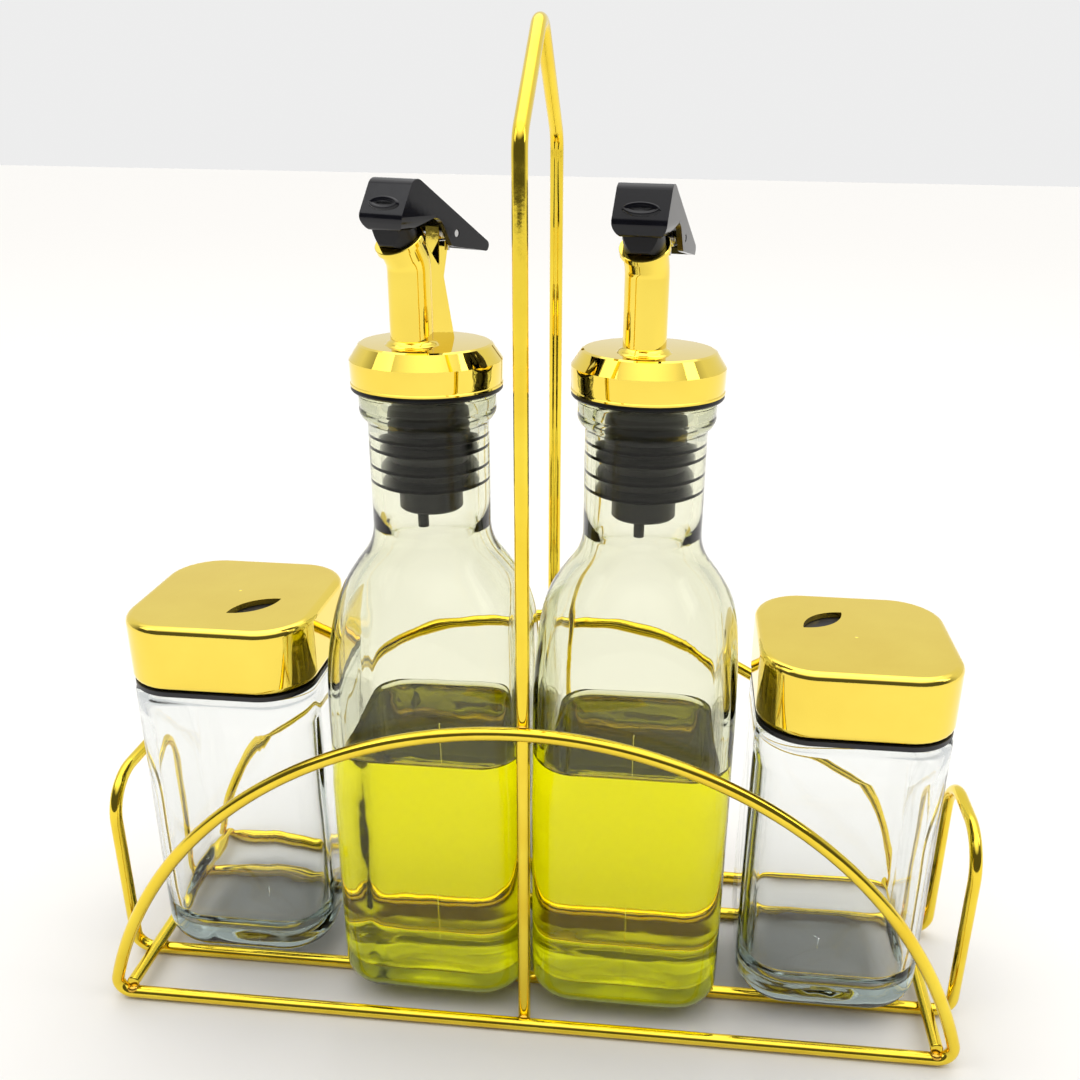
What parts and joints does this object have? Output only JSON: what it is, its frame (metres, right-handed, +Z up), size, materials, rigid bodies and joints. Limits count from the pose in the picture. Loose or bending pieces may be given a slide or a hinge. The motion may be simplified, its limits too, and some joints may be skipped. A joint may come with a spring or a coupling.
{
  "type": "cruet set",
  "caption": "Gold wire rack with a tall handle, square oil bottles with flip-lever pourers and square shaker jars with turning covers.",
  "frame": {"origin": "on the table, at the middle of the rack's footprint", "axes": "+X along the rack to the right, +Y to the back, +Z up; the arches face front and back, the end loops left and right"},
  "size_m": [0.238, 0.0734, 0.2497],
  "materials": {
    "rack_wire": "mirror-bright gold electroplate on steel wire",
    "gold_plastic": "vacuum-metallised gold plastic, mirror gloss",
    "bottle_glass": "clear pressed soda-lime glass",
    "jar_glass": "clear pressed soda-lime glass",
    "oil": "clear yellow-green oil",
    "black_plastic": "black moulded plastic",
    "black_rubber": "black food-grade rubber",
    "steel": "bright stainless wire"
  },
  "bodies": {
    "rack": {"front_frame": "rack_wire", "rear_frame": "rack_wire", "handle": "rack_wire", "shelf_wire": "rack_wire", "left_cross_wire": "rack_wire", "right_cross_wire": "rack_wire"},
    "left_bottle": {"left_bottle": "bottle_glass", "left_oil": "oil"},
    "left_pourer": {"left_spout": "gold_plastic", "left_gasket": "black_rubber", "left_stopper": "black_rubber", "left_air_tube": "black_plastic", "left_hinge_pin": "steel", "left_spring": "steel"},
    "left_lever": {"left_lever": "black_plastic", "left_lever_plug": "black_rubber"},
    "left_jar": {"left_jar": "jar_glass"},
    "left_shaker": {"left_shaker": "black_plastic"},
    "left_cover": {"left_cover": "gold_plastic"},
    "right_bottle": {"right_bottle": "bottle_glass", "right_oil": "oil"},
    "right_pourer": {"right_spout": "gold_plastic", "right_gasket": "black_rubber", "right_stopper": "black_rubber", "right_air_tube": "black_plastic", "right_hinge_pin": "steel", "right_spring": "steel"},
    "right_lever": {"right_lever": "black_plastic", "right_lever_plug": "black_rubber"},
    "right_jar": {"right_jar": "jar_glass"},
    "right_shaker": {"right_shaker": "black_plastic"},
    "right_cover": {"right_cover": "gold_plastic"}
  },
  "joints": [
    {"name": "left_bottle_lift", "type": "slide", "parent": "rack", "child": "left_bottle", "axis": [0, 0, 1], "range_m": [0, 0.11]},
    {"name": "left_pourer_pull", "type": "slide", "parent": "left_bottle", "child": "left_pourer", "axis": [0, 0, 1], "range_m": [0, 0.045]},
    {"name": "left_lever_flip", "type": "hinge", "parent": "left_pourer", "child": "left_lever", "pos_m": [-0.02398, -0.00186, 0.20417], "axis": [-0.891, 0.454, 0], "range_deg": [0, 45], "stiffness_Nm_per_rad": 0.015, "springref_deg": -34.38},
    {"name": "left_jar_lift", "type": "slide", "parent": "rack", "child": "left_jar", "axis": [0, 0, 1], "range_m": [0, 0.11]},
    {"name": "left_shaker_lift", "type": "slide", "parent": "left_jar", "child": "left_shaker", "axis": [0, 0, 1], "range_m": [0, 0.03]},
    {"name": "left_cover_turn", "type": "hinge", "parent": "left_shaker", "child": "left_cover", "pos_m": [-0.08332, 0.0026, 0.098], "axis": [0, 0, 1], "continuous": true},
    {"name": "right_bottle_lift", "type": "slide", "parent": "rack", "child": "right_bottle", "axis": [0, 0, 1], "range_m": [0, 0.11]},
    {"name": "right_pourer_pull", "type": "slide", "parent": "right_bottle", "child": "right_pourer", "axis": [0, 0, 1], "range_m": [0, 0.045]},
    {"name": "right_lever_flip", "type": "hinge", "parent": "right_pourer", "child": "right_lever", "pos_m": [0.02736, -0.00141, 0.20417], "axis": [-0.9781, 0.2079, 0], "range_deg": [0, 45], "stiffness_Nm_per_rad": 0.015, "springref_deg": -34.38},
    {"name": "right_jar_lift", "type": "slide", "parent": "rack", "child": "right_jar", "axis": [0, 0, 1], "range_m": [0, 0.11]},
    {"name": "right_shaker_lift", "type": "slide", "parent": "right_jar", "child": "right_shaker", "axis": [0, 0, 1], "range_m": [0, 0.03]},
    {"name": "right_cover_turn", "type": "hinge", "parent": "right_shaker", "child": "right_cover", "pos_m": [0.08172, -0.002, 0.098], "axis": [0, 0, 1], "continuous": true}
  ]
}
